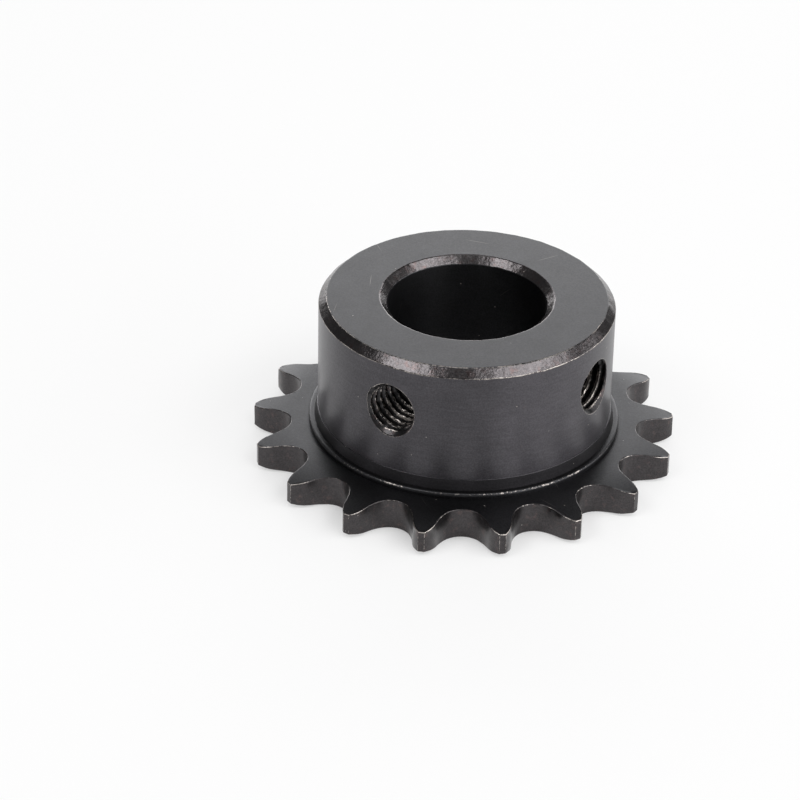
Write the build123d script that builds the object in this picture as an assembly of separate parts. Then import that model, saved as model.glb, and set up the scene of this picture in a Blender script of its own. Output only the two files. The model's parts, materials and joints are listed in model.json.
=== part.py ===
"""Roller chain sprocket, type B: a toothed plate with a hub on one side.

The real part is one piece of steel: a blank turned on a lathe, with its teeth
hobbed afterwards, its bore reamed and two set-screw holes tapped through the
hub wall. The axis of the bore is Z. The origin is the centre of the bore at
the plate's outer face, and the hub points towards +Z. All sizes are in
millimetres.
"""
from build123d import *
from math import atan2, cos, degrees, pi, radians, sin, sqrt
import os

# ---- Chain and teeth --------------------------------------------------------
chain_pitch = 6.35             # distance between two rollers of the chain
roller_diameter = 3.30         # the chain's rollers (bushes on this small size)
tooth_count = 17
tooth_space_clearance = 0.24   # extra room between a roller and its seat
tip_height = 1.54              # tooth tips above the pitch circle
first_tooth_angle = -7.45      # a tooth tip, measured from the +X set screw

# ---- Toothed plate ----------------------------------------------------------
plate_thickness = 2.8
tip_relief = 0.42              # each side of a tooth falls away by this at its tip
relief_inset = 0.3             # the fall starts this far inside the root circle

# ---- Hub --------------------------------------------------------------------
overall_length = 15.0          # from the plate's outer face to the hub's end face
hub_diameter = 26.0
hub_chamfer = 0.7
foot_ledge = 0.06              # fine step where the hub wall meets its flared foot
foot_rise = 1.0                # height of the flared foot
foot_flare = 0.3               # how far the foot spreads
shoulder_width = 0.8           # the raised ring round the hub, beyond the hub wall
shoulder_height = 0.5

# ---- Bore and set-screw holes -----------------------------------------------
bore_diameter = 14.0
bore_chamfer = 0.65
screw_drill_diameter = 4.2     # tapping size of an M5 thread
screw_countersink = 0.4        # radial width of the countersink round each hole
screw_from_end = 5.0           # axis of the screws below the hub's end face
screw_angles = (0, -90)        # the two screws are a quarter turn apart

# ---- Standard roller chain tooth form ---------------------------------------
# A tooth space is five curves each side: the seat under the roller, the
# working curve, a short straight and the convex topping curve. The standard
# gives their radii and centres as multiples of the roller's diameter, and
# their angles as a value that shrinks as the teeth get fewer.
SEAT_RATIO = 0.5025
WORKING_RATIO = 1.3025
WORKING_CENTRE = 0.8
TOPPING_CENTRE = 1.4
half_pitch_angle = pi / tooth_count
seat_angle = radians(35 + 60 / tooth_count)
working_angle = radians(18 - 56 / tooth_count)
straight_angle = radians(17 - 64 / tooth_count)

# ---- Sizes that follow ------------------------------------------------------
pitch_radius = chain_pitch / 2 / sin(half_pitch_angle)
seat_radius = SEAT_RATIO * roller_diameter + tooth_space_clearance
working_radius = WORKING_RATIO * roller_diameter + tooth_space_clearance
topping_radius = roller_diameter * (
    WORKING_CENTRE * cos(working_angle)
    + TOPPING_CENTRE * cos(straight_angle)
    - WORKING_RATIO
) - tooth_space_clearance
straight_length = roller_diameter * (
    TOPPING_CENTRE * sin(straight_angle) - WORKING_CENTRE * sin(working_angle)
)
root_radius = pitch_radius - seat_radius
tip_radius = pitch_radius + tip_height
relief_radius = root_radius - relief_inset
hub_radius = hub_diameter / 2
bore_radius = bore_diameter / 2
shoulder_radius = hub_radius + shoulder_width
shoulder_top = plate_thickness + shoulder_height
foot_top = shoulder_top + foot_rise


def on_circle(centre, radius, angle):
    """A point of a circle; the angle is in radians, anticlockwise from +X."""
    return (centre[0] + radius * cos(angle), centre[1] + radius * sin(angle))


def arc(centre, radius, start, end):
    """The arc of a circle between two angles in radians."""
    middle = on_circle(centre, radius, (start + end) / 2)
    return ThreePointArc(on_circle(centre, radius, start), middle, on_circle(centre, radius, end))


def tooth_flank():
    """One side of a tooth space, from the bottom of the seat to the pointed
    end of the tooth. The middle of the space is on the X axis."""
    roller = (pitch_radius, 0)
    seat_end = pi / 2 + seat_angle
    seat = arc(roller, seat_radius, pi, seat_end)

    working_centre = on_circle(roller, WORKING_CENTRE * roller_diameter, seat_end - pi)
    working_end = seat_end - working_angle
    working = arc(working_centre, working_radius, seat_end, working_end)

    straight_start = on_circle(working_centre, working_radius, working_end)
    straight_end = on_circle(straight_start, straight_length, working_end - pi / 2)

    topping_centre = on_circle(roller, TOPPING_CENTRE * roller_diameter, pi / 2 + half_pitch_angle)
    beyond_centreline = TOPPING_CENTRE * roller_diameter - chain_pitch / 2
    point_height = sqrt(topping_radius**2 - beyond_centreline**2)
    point_radius = pitch_radius * cos(half_pitch_angle) + point_height
    point = on_circle((0, 0), point_radius, half_pitch_angle)
    topping_start = atan2(straight_end[1] - topping_centre[1], straight_end[0] - topping_centre[0])
    topping_end = atan2(point[1] - topping_centre[1], point[0] - topping_centre[0])
    if topping_start < 0:
        topping_start += 2 * pi
    if topping_end < 0:
        topping_end += 2 * pi
    topping = arc(topping_centre, topping_radius, topping_start, topping_end)
    return Curve() + [seat, working, Line(straight_start, straight_end), topping]


def toothed_disc():
    """The tooth outline through the full plate, with pointed teeth: the turned
    blank cuts their tips off at the tip circle."""
    flank = tooth_flank()
    space = Curve() + [flank, mirror(flank, about=Plane.XZ)]
    first_space = first_tooth_angle + degrees(half_pitch_angle)
    spaces = [
        Rot(0, 0, first_space + number * 360 / tooth_count) * space
        for number in range(tooth_count)
    ]
    outline = Wire([edge for one in spaces for edge in one.edges()])
    return extrude(make_face(outline), amount=plate_thickness)


def plate_blank():
    """The plate as turned: flat faces that curve away towards the tips."""
    section = Curve() + [
        Line((0, 0), (relief_radius, 0)),
        TangentArc((relief_radius, 0), (tip_radius, tip_relief), tangent=(1, 0)),
        Line((tip_radius, tip_relief), (tip_radius, plate_thickness - tip_relief)),
        TangentArc(
            (relief_radius, plate_thickness),
            (tip_radius, plate_thickness - tip_relief),
            tangent=(1, 0),
        ),
        Line((relief_radius, plate_thickness), (0, plate_thickness)),
        Line((0, plate_thickness), (0, 0)),
    ]
    return revolve(Plane.XZ * make_face(section), Axis.Z)


def hub_blank():
    """The hub as turned, from inside the plate to its end face: a low raised
    shoulder, a flared foot, the plain wall and the chamfered end."""
    section = Polyline(
        (0, plate_thickness / 2),
        (shoulder_radius, plate_thickness / 2),
        (shoulder_radius, shoulder_top),
        (hub_radius + foot_flare, shoulder_top),
        (hub_radius + foot_ledge, foot_top),
        (hub_radius, foot_top),
        (hub_radius, overall_length - hub_chamfer),
        (hub_radius - hub_chamfer, overall_length),
        (0, overall_length),
        close=True,
    )
    return revolve(Plane.XZ * make_face(section), Axis.Z)


def bore():
    """The shaft bore right through, chamfered at both ends."""
    mouth = bore_radius + bore_chamfer
    section = Polyline(
        (0, 0),
        (mouth, 0),
        (bore_radius, bore_chamfer),
        (bore_radius, overall_length - bore_chamfer),
        (mouth, overall_length),
        (0, overall_length),
        close=True,
    )
    return revolve(Plane.XZ * make_face(section), Axis.Z)


def set_screw_hole():
    """A drilled hole from the bore out through the hub wall along +X, with a
    right-angled countersink that reaches its full width at the hub wall."""
    drill_radius = screw_drill_diameter / 2
    section = Polyline(
        (0, 0),
        (0, drill_radius),
        (hub_radius - screw_countersink, drill_radius),
        (hub_radius + screw_countersink, drill_radius + 2 * screw_countersink),
        (hub_radius + screw_countersink, 0),
        close=True,
    )
    hole = revolve(Plane.XY * make_face(section), Axis.X)
    return Pos(0, 0, overall_length - screw_from_end) * hole


def sprocket():
    body = plate_blank() & toothed_disc()
    body += hub_blank()
    body -= bore()
    for angle in screw_angles:
        body -= Rot(0, 0, angle) * set_screw_hole()
    return body


os.makedirs("parts", exist_ok=True)
export_step(sprocket(), "parts/sprocket.step")
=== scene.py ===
"""Chain sprocket: the looks of a blackened steel sprocket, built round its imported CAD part.

The file is laid out as an add-on and run as a script. It makes one watertight mesh of the
sprocket, with broken edges and real M5 threads in its two tapped holes, gives it black oxide
finishes, and puts it on a pale floor in soft studio light.
"""

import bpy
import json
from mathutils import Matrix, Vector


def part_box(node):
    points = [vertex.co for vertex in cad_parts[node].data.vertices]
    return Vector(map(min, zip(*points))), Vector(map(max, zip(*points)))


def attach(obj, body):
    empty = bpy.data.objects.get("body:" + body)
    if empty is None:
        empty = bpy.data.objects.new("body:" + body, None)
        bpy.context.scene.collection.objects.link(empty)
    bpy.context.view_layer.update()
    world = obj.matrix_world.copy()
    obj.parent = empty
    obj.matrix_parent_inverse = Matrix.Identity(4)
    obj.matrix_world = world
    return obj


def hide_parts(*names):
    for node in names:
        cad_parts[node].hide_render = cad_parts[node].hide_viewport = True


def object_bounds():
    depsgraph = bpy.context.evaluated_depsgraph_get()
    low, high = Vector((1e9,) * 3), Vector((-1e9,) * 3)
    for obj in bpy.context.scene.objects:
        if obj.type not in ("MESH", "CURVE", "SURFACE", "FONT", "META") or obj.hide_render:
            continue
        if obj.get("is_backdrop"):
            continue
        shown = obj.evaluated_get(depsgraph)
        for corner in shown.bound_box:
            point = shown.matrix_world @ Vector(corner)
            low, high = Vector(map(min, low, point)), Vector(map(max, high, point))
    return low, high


bl_info = {
    "name": "Chain Sprocket",
    "version": (1, 0, 0),
    "blender": (4, 5, 0),
    "location": "3D View > Sidebar > Sprocket",
    "description": "Builds a blackened steel roller chain sprocket and its stage",
    "category": "Add Mesh",
}

import json
from math import acos, atan2, cos, pi, radians, sin, sqrt

import bmesh
import bpy
from mathutils import Matrix, Quaternion, Vector, noise

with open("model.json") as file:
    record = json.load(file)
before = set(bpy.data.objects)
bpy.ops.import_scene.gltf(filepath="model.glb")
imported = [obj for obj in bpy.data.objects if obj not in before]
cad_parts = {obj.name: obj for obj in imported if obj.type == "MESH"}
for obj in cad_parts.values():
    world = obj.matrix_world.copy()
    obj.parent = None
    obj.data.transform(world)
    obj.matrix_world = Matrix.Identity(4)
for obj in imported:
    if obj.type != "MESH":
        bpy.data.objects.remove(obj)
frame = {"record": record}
CAD_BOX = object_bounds()

MM = 0.001
MERGE_DISTANCE = 0.001 * MM
# The worn value also holds a painted highlight: higher on the hub's camera side and on the lower crests of
# the tapped holes.
WEAR_AND_HIGHLIGHT = "worn_and_highlit_edge"          # vertex attribute: about 1 where handling has rubbed the black off
HOB_CUT = "hob_cut"         # face attribute: true on what the hob cut
NODE = "sprocket"

MOUNTS = {mount["name"]: mount for mount in frame["record"]["mounts"]}
SCREW_HOLES = [MOUNTS["set_screw_hole_x"], MOUNTS["set_screw_hole_y"]]
BORE_RADIUS_MM = MOUNTS["bore"]["dims"]["r_mm"]
DRILL_RADIUS_MM = SCREW_HOLES[0]["dims"]["r_mm"]
SCREW_HEIGHT_MM = SCREW_HOLES[0]["pos_m"][2] / MM
OVERALL_LENGTH_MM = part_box(NODE)[1].z / MM

# The standard roller chain tooth form, in roller diameters
SEAT_RADIUS = 0.5025
WORKING_RADIUS = 1.3025
WORKING_CENTRE = 0.8
TOPPING_CENTRE = 1.4

# How far the edges are worn, as values of the attribute
FLANK_WEAR = 0.95
TIP_WEAR = 1.2
TIP_CORNER_WEAR = 1.05
# Crest wear rises towards the bottom of the tapped holes as a painted highlight, where light from above
# falls on the crests.
CREST_WEAR_AND_HIGHLIGHT_LOW = 1.4        # the thread's crests at the bottom of the hole
CREST_WEAR_AND_HIGHLIGHT_HIGH = 0.8       # and at its top
RIM_WEAR = 1.3              # the countersink's rim
WEAR_AT_ENDS = 0.7          # share of an edge's wear that is left at both ends of its rounding

# How the surfaces are divided and joined
TIP_STEPS = 2
CORNER_STEPS = 3
TOPPING_STEPS = 4
STRAIGHT_STEPS = 2
WORKING_STEPS = 4
SEAT_STEPS = 5
EDGE_STEPS = 3
FACE_ROWS = 10
SEAM_GAP_MM = 0.6           # from the shoulder out to where the turned faces meet the teeth
STITCH_MM = 0.2             # width of the strip in which the teeth's columns halve
WINDOW_MARGIN_MM = 0.9      # from a tapped hole out to the edge of its window in the wall
WINDOW_SHARES = (0.0, 0.3, 0.65)    # where the rings between hole and frame lie on the way
SUPPORT_SHARE = 0.25        # of a broken edge's radius, beyond which a row keeps the surfaces flat
SUPPORT_REACH = 1.5         # in roundings, from a turned corner to the row that does the same there
RIM_ROWS = 2.0              # rows that round the countersink's rim
SETTLING_PASSES = 16
HUB_COLUMNS = 340
HUB_WINDOW_ROWS = 18
BORE_WINDOW_ROWS = 15
THREAD_COLUMNS = 96
THREAD_ROWS_PER_TURN = 14
THREAD_TURNS = 10
CREST_ROWS = 2              # from the middle of the thread's crest to where its flank starts
FLANK_END_ROWS = 6          # and to where the flank ends, which tilts it by nearly 30 degrees
RUN_IN_TURNS = 1.05         # turns of thread that start inside the bore and are cut off by it
SHARP_ANGLE = radians(40)   # edges that bend more than this look sharp

# The patterns in the finishes, and the oil film
TYPICAL_RADIUS_MM = 13      # where streaks have their stated length round the axis
SCRATCH_SPACING_MM = 3.0
SCRATCH_HALF_WIDTH_MM = 0.02
SCRATCH_STRENGTH = 0.4      # share of bare steel in the middle of a scratch
PATCH_BORDER = 0.2          # how much a noise rises from outside a patch to inside it
SPECK_SPACING_MM = 1.4
SPECK_RADIUS = 0.035        # in spacings
SPECK_CHANCE = 0.6
OIL_IOR = 1.47
OIL_ROUGHNESS = 0.26
QUARTER_TURN = 0.25

# The stage
FLOOR_SIZE = 6              # metres
LAMP_DISTANCE = 0.8         # metres
CLEAR_FROM_MM = 12          # the floor's shadow starts to fade this far from the axis
CLEAR_AT_MM = 21            # and is faintest from here on

# The sprocket's finishes, in the order of its material slots
FACED, TURNED, HOBBED, CHAMFERED, TAPPED, REAMED, FOOT_PAINTED_SHADE = range(7)


# ---- Sizes and colours that a user would change ----

def number(name, description, default, **more):
    """A number property, with whatever else Blender should know about it."""
    return bpy.props.FloatProperty(name=name, description=description, default=default, **more)


def length(name, description, default_mm):
    """A length property whose default is given in millimetres."""
    return number(name, description, default_mm * MM, min=0.0, precision=5, unit="LENGTH")


def linear(hex_colour):
    """An sRGB hex colour such as "#2b2b2d" as linear red, green, blue and alpha."""
    values = [int(hex_colour[i:i + 2], 16) / 255 for i in (1, 3, 5)]
    return [v / 12.92 if v <= 0.04045 else ((v + 0.055) / 1.055) ** 2.4 for v in values] + [1.0]


def colour(name, description, hex_colour):
    """A colour property whose default is given as sRGB hex."""
    return bpy.props.FloatVectorProperty(
        name=name, description=description, default=linear(hex_colour), size=4, min=0.0, max=1.0,
        subtype="COLOR",
    )


def angular(name, description, default_degrees):
    """An angle property whose default is given in degrees."""
    return number(name, description, radians(default_degrees), subtype="ANGLE")


def fraction(name, description, default):
    """A property from 0 to 1."""
    return number(name, description, default, min=0.0, max=1.0, subtype="FACTOR")


def power(name, description, default_watts):
    """A lamp's power in watts."""
    return number(name, description, default_watts, min=0.0, unit="POWER")


class ToothSizes(bpy.types.PropertyGroup):
    chain_pitch: length("Chain pitch", "Distance between two rollers of the chain", 6.35)
    roller_diameter: length("Roller diameter", "Diameter of the chain's rollers", 3.30)
    tooth_count: bpy.props.IntProperty(name="Teeth", description="Number of teeth", default=17, min=9)
    space_clearance: length("Space clearance", "Extra room between a roller and its seat", 0.24)
    tip_height: length("Tip height", "Height of the tooth tips above the pitch circle", 1.54)
    first_tooth_angle: angular("First tooth", "Angle of a tooth tip from the +X set screw", -7.45)
    plate_thickness: length("Plate thickness", "Thickness of the toothed plate", 2.8)
    tip_relief: length("Tip relief", "How far each face falls away at the tooth tips", 0.42)
    relief_inset: length("Relief inset", "How far inside the root circle the fall starts", 0.3)
    broken_edge: length("Broken edge", "Radius of the tooth edges, broken after hobbing", 0.07)
    tip_corner: length("Tip corner", "Radius of the two upright corners of each tip", 0.12)
    edge_wander: length("Edge wander", "How far the broken edges wander in and out", 0.05)
    wander_length: length("Wander length", "Distance over which the edges wander", 0.9)


class HubSizes(bpy.types.PropertyGroup):
    overall_length: length(
        "Overall length", "From the plate's face to the hub's end face", OVERALL_LENGTH_MM
    )
    hub_diameter: length("Hub diameter", "Diameter of the hub wall", 26.0)
    hub_chamfer: length("Hub chamfer", "Chamfer round the hub's end face", 0.7)
    bore_diameter: length("Bore diameter", "Diameter of the shaft bore", 2 * BORE_RADIUS_MM)
    bore_chamfer: length("Bore chamfer", "Chamfer at both ends of the bore", 0.65)
    shoulder_width: length("Shoulder width", "Raised ring round the hub, beyond the hub wall", 0.8)
    shoulder_height: length("Shoulder height", "Height of the raised ring above the plate", 0.5)
    shoulder_round: length("Shoulder round", "Rounding of the raised ring's outer edge", 0.22)
    foot_rise: length("Foot rise", "Height of the hub's flared foot", 1.0)
    foot_flare: length("Foot flare", "How far the hub's foot spreads", 0.3)
    foot_ledge: length("Foot ledge", "Fine step between the foot and the hub wall", 0.06)
    edge_round: length("Edge round", "Radius of the turned edges", 0.06)
    edge_wander: length("Edge wander", "How far the chamfer edges wander from a true circle", 0.05)
    wander_length: length("Wander length", "Distance over which the edges wander", 1.1)
    # The rubbed side faces the camera, so the extra bare steel there is wear and a painted highlight on the
    # hub's front edges in one.
    rubbed_and_highlit_side: angular(
        "Rubbed side", "Side on which the edges are rubbed most, anticlockwise from +X", -60
    )
    # Sparing the far side keeps it darker: the other half of the same painted highlight.
    spared_and_unlit: fraction("Spared", "How much less the edges are rubbed on the far side", 0.3)


class TappedHoleSizes(bpy.types.PropertyGroup):
    thread_diameter: length("Thread diameter", "Major diameter of the set-screw thread", 5.0)
    thread_pitch: length("Thread pitch", "Pitch of the set-screw thread", 0.8)
    drill_diameter: length("Drill diameter", "Tapping drill's diameter", 2 * DRILL_RADIUS_MM)
    countersink: length("Countersink", "Radial width of the countersink at the hub wall", 0.4)
    rim_rounding: length("Rim rounding", "Rounding of the countersink's rim", 0.04)
    tearing: length("Tearing", "How far the tap has torn the thread's crests", 0.26)
    tear_length: length("Tear length", "Distance over which the torn crests vary", 0.4)
    height: length("Height", "Height of the screws' axes above the plate's outer face", SCREW_HEIGHT_MM)


class FinishColours(bpy.types.PropertyGroup):
    faced: colour("Faced", "Black oxide on the faced ends and the plate", "#3e3e40")
    turned: colour("Turned", "Black oxide on the hub wall, smoother and so lighter", "#4b494d")
    hobbed: colour("Hobbed", "Black oxide on the tooth flanks", "#413e3f")
    chamfered: colour("Chamfered", "Black oxide on the chamfers", "#545152")
    tapped: colour("Tapped", "Black oxide in the tapped holes", "#3f3e3f")
    # The foot's colour is darker as painted shade in the hub's corner.
    foot: colour("Foot", "Black oxide on the hub's foot", "#2b2a2c")
    brown: colour("Thin oxide", "Thin, reddish oxide on rougher cuts", "#584c4b")
    steel: colour("Rubbed steel", "Bare steel where the edges are rubbed", "#b3aca7")
    dust: colour("Dust", "Specks of lint and dust", "#8f8984")


class StageSettings(bpy.types.PropertyGroup):
    floor: colour("Floor", "Colour of the floor", "#fbfbfb")
    floor_glow: fraction(
        "Floor glow", "Share of the far floor's look that is plain white, without shadow", 0.75
    )
    surround: number("Surround", "Strength of the even light from all round", 0.18, min=0.0)
    top_light: power("Top light", "Power of the softbox overhead", 1.1)
    back_light: power("Back light", "Power of the long softbox behind", 4.9)
    right_light: power("Right light", "Power of the long softbox on the right", 5.0)
    front_light: power("Front light", "Power of the softbox high on the right", 2.9)
    fill_light: power("Fill light", "Power of the softbox high on the left", 1.6)
    camera_azimuth: angular("Camera azimuth", "Side the camera stands on, anticlockwise from +X", -59.7)
    camera_elevation: angular("Camera elevation", "Height of the camera above the horizon", 31.07)
    camera_roll: angular("Camera roll", "Turn of the camera about its own view", 1.13)
    camera_distance: length("Camera distance", "From the camera to the point it looks at", 295.1)
    camera_aim: bpy.props.FloatVectorProperty(
        name="Camera aim", description="Point the camera looks at", subtype="XYZ", unit="LENGTH",
        default=(-4.92 * MM, -2.87 * MM, 4.30 * MM),
    )
    camera_lens: number("Lens", "Focal length of the lens", 149.3, unit="CAMERA")


# ---- Helpers ----

def add(tree, kind, inputs=None, **settings):
    """Adds a node with its settings, sets or links its inputs and returns its outputs."""
    node = tree.nodes.new(kind)
    for key, value in settings.items():
        setattr(node, key, value)
    for key, value in (inputs or {}).items():
        if isinstance(value, bpy.types.NodeSocket):
            tree.links.new(value, node.inputs[key])
        else:
            node.inputs[key].default_value = value
    return node.outputs


def empty_tree(owner):
    """The node tree of a new material or world, with nothing in it."""
    owner.use_nodes = True
    owner.node_tree.nodes.clear()
    return owner.node_tree


def growing_tree(title, output, **inputs):
    """A geometry nodes tree with one output, and inputs of these names by kind."""
    tree = bpy.data.node_groups.new(title, "GeometryNodeTree")
    for kind, names in inputs.items():
        for name in names:
            tree.interface.new_socket(name, in_out="INPUT", socket_type="NodeSocket" + kind)
    tree.interface.new_socket(output, in_out="OUTPUT", socket_type="NodeSocketGeometry")
    return tree


def new_object(name, data):
    """An object for this mesh, lamp or lens, linked to the scene."""
    made = bpy.data.objects.new(name, data)
    bpy.context.scene.collection.objects.link(made)
    return made


def grown(name, mesh, tree, values):
    """Runs a geometry nodes tree on a mesh with these named inputs and returns the plain mesh it makes."""
    carrier = new_object(name, mesh)
    modifier = carrier.modifiers.new(name, "NODES")
    modifier.node_group = tree
    for item in tree.interface.items_tree:
        if item.item_type == "SOCKET" and item.in_out == "INPUT" and item.name in values:
            modifier[item.identifier] = values[item.name]
    carrier.update_tag()
    view = bpy.context.evaluated_depsgraph_get()
    result = bpy.data.meshes.new_from_object(carrier.evaluated_get(view), depsgraph=view)
    carrier.modifiers.remove(modifier)
    bpy.data.objects.remove(carrier)
    return result


def polar(radius, angle):
    """A point of the XY plane."""
    return Vector((radius * cos(angle), radius * sin(angle)))


def facing(azimuth, elevation):
    """The direction from the origin with this azimuth and elevation."""
    return Vector((cos(elevation) * cos(azimuth), cos(elevation) * sin(azimuth), sin(elevation)))


def edge_wear(worn, step):
    """How far an edge is worn at one step of its rounding."""
    return worn if 0 < step < EDGE_STEPS else worn * WEAR_AT_ENDS


# ---- Teeth ----

def arc(centre, radius, start, end, steps, metal_inside):
    """(point, outward normal) pairs along an arc, its start left out. The normal points away from the
    centre where the metal is inside the arc, and towards it where the arc is hollow."""
    side = 1 if metal_inside else -1
    angles = [start + (end - start) * step / steps for step in range(1, steps + 1)]
    return [(centre + polar(radius, angle), polar(side, angle)) for angle in angles]


def half_tooth(sizes):
    """(point, outward normal) pairs of the standard roller chain tooth form, from the middle of a tooth
    space to the middle of a tooth's tip, with the middle of the space on the X axis."""
    half_pitch = pi / sizes.tooth_count
    # The standard's three angles, in degrees.
    seat_angle = radians(35 + 60 / sizes.tooth_count)
    working_angle = radians(18 - 56 / sizes.tooth_count)
    straight_angle = radians(17 - 64 / sizes.tooth_count)
    roller_size = sizes.roller_diameter
    pitch_radius = sizes.chain_pitch / 2 / sin(half_pitch)
    tip_radius = pitch_radius + sizes.tip_height
    seat_radius = SEAT_RADIUS * roller_size + sizes.space_clearance
    working_radius = WORKING_RADIUS * roller_size + sizes.space_clearance
    topping_radius = roller_size * (
        WORKING_CENTRE * cos(working_angle) + TOPPING_CENTRE * cos(straight_angle) - WORKING_RADIUS
    ) - sizes.space_clearance
    straight_length = roller_size * (
        TOPPING_CENTRE * sin(straight_angle) - WORKING_CENTRE * sin(working_angle)
    )

    roller = Vector((pitch_radius, 0))
    seat_end = pi / 2 + seat_angle
    outline = [(roller + polar(seat_radius, pi), Vector((1, 0)))]
    outline += arc(roller, seat_radius, pi, seat_end, SEAT_STEPS, False)

    working_centre = roller + polar(WORKING_CENTRE * roller_size, seat_end - pi)
    working_end = seat_end - working_angle
    outline += arc(working_centre, working_radius, seat_end, working_end, WORKING_STEPS, False)

    start, normal = outline[-1]
    for step in range(1, STRAIGHT_STEPS + 1):
        along = polar(straight_length * step / STRAIGHT_STEPS, working_end - pi / 2)
        outline.append((start + along, normal))

    topping_centre = roller + polar(TOPPING_CENTRE * roller_size, pi / 2 + half_pitch)
    reach = topping_centre.length
    span = (tip_radius**2 - reach**2 - topping_radius**2) / (2 * reach * topping_radius)
    topping_start = atan2(normal.y, normal.x)
    topping_end = atan2(topping_centre.y, topping_centre.x) - acos(span)
    corner = topping_centre + polar(topping_radius, topping_end)
    tip_angle = atan2(corner.y, corner.x)
    turn = tip_angle - topping_end
    cut_back = sizes.tip_corner * sin(turn) / (1 + cos(turn))
    outline += arc(
        topping_centre, topping_radius, topping_start, topping_end - cut_back / topping_radius,
        TOPPING_STEPS, True,
    )
    both = polar(1, topping_end) + polar(1, tip_angle)
    corner_centre = corner - both * sizes.tip_corner / (1 + cos(turn))
    outline += arc(corner_centre, sizes.tip_corner, topping_end, tip_angle, CORNER_STEPS, True)
    outline += arc(
        Vector((0, 0)), tip_radius, tip_angle + cut_back / tip_radius, half_pitch, TIP_STEPS, True
    )
    return outline


class ToothSection:
    """How the toothed plate's two faces curve away towards the tips."""

    def __init__(self, sizes):
        pitch_radius = sizes.chain_pitch / 2 / sin(pi / sizes.tooth_count)
        root_radius = pitch_radius - SEAT_RADIUS * sizes.roller_diameter - sizes.space_clearance
        self.start = root_radius - sizes.relief_inset
        run = pitch_radius + sizes.tip_height - self.start
        self.arc_radius = (run**2 + sizes.tip_relief**2) / (2 * sizes.tip_relief)

    def fall(self, radius):
        """How far each face has fallen away at this radius."""
        run = max(0.0, radius - self.start)
        return self.arc_radius - sqrt(self.arc_radius**2 - run**2)


def one_tooth(sizes, seam_radius):
    """The mesh of one tooth pitch: both faces from the seam with the hub out to the tooth, and the
    hobbed wall between them, with its edges broken. The tooth is centred on the X axis."""
    section = ToothSection(sizes)
    thickness = sizes.plate_thickness
    half_pitch = pi / sizes.tooth_count
    turned = Matrix.Rotation(-half_pitch, 2)
    half = [(turned @ point, turned @ normal) for point, normal in half_tooth(sizes)]
    mirrored = [(Vector((p.x, -p.y)), Vector((n.x, -n.y))) for p, n in half[-2::-1]]
    outline = half + mirrored
    last = len(outline) - 1
    flank_end = SEAT_STEPS + WORKING_STEPS + STRAIGHT_STEPS + TOPPING_STEPS

    edge = sizes.broken_edge
    support = SUPPORT_SHARE * edge
    steps = [step / EDGE_STEPS * pi / 2 for step in range(EDGE_STEPS + 1)]
    broken = [(edge * (1 - sin(angle)), edge * (1 - cos(angle))) for angle in steps]

    def turn(index):
        """The angle that one column stands at."""
        return -half_pitch + 2 * half_pitch * index / last

    def column(index):
        """(x, y, z, worn) down one column, from the seam on the hub's side to the plate's middle."""
        point, normal = outline[index]
        from_seat = min(index, last - index)
        rubbed = TIP_WEAR if from_seat > flank_end - TOPPING_STEPS else FLANK_WEAR
        seam = polar(seam_radius, turn(index))
        inner = point - normal * (edge + support)
        for row in range(FACE_ROWS + 1):
            place = seam.lerp(inner, row / FACE_ROWS)
            yield place.x, place.y, thickness - section.fall(place.length), 0.0
        top = thickness - section.fall(point.length)
        for step, (inset, drop) in enumerate(broken):
            place = point - normal * inset
            height = thickness - section.fall(place.length) - drop
            yield place.x, place.y, height, edge_wear(rubbed, step)
        upright = TIP_CORNER_WEAR if flank_end < from_seat < flank_end + CORNER_STEPS else 0.0
        yield point.x, point.y, top - edge - support, upright
        yield point.x, point.y, (top - edge + thickness / 2) / 2, upright

    mesh = bmesh.new()
    worn_layer = mesh.verts.layers.float.new(WEAR_AND_HIGHLIGHT)
    hobbed_layer = mesh.faces.layers.bool.new(HOB_CUT)
    columns = []
    for index in range(last + 1):
        upper = list(column(index))
        middle = (upper[-1][0], upper[-1][1], thickness / 2, upper[-1][3])
        lower = [(x, y, thickness - z, worn) for x, y, z, worn in reversed(upper)]
        made = []
        for x, y, z, worn in upper + [middle] + lower:
            vertex = mesh.verts.new((x, y, z))
            vertex[worn_layer] = worn
            made.append(vertex)
        columns.append(made)
    rows = len(columns[0])
    for left, right in zip(columns, columns[1:]):
        for row in range(rows - 1):
            face = mesh.faces.new((left[row], left[row + 1], right[row + 1], right[row]))
            face[hobbed_layer] = FACE_ROWS < row < rows - 2 - FACE_ROWS

    # Half as many columns are enough round the hub, so each face closes in by two to one.
    stitch_radius = seam_radius - STITCH_MM * MM
    for row, height in ((0, thickness), (rows - 1, 0.0)):
        stitches = []
        for index in range(0, last + 1, 2):
            place = polar(stitch_radius, turn(index))
            stitches.append(mesh.verts.new((place.x, place.y, height)))
        for step, (near, far) in enumerate(zip(stitches, stitches[1:])):
            left, middle, right = (columns[2 * step + side][row] for side in range(3))
            mesh.faces.new((near, left, middle))
            mesh.faces.new((near, middle, far))
            mesh.faces.new((far, middle, right))
    data = bpy.data.meshes.new("one_tooth")
    mesh.to_mesh(data)
    mesh.free()
    return data


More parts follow.
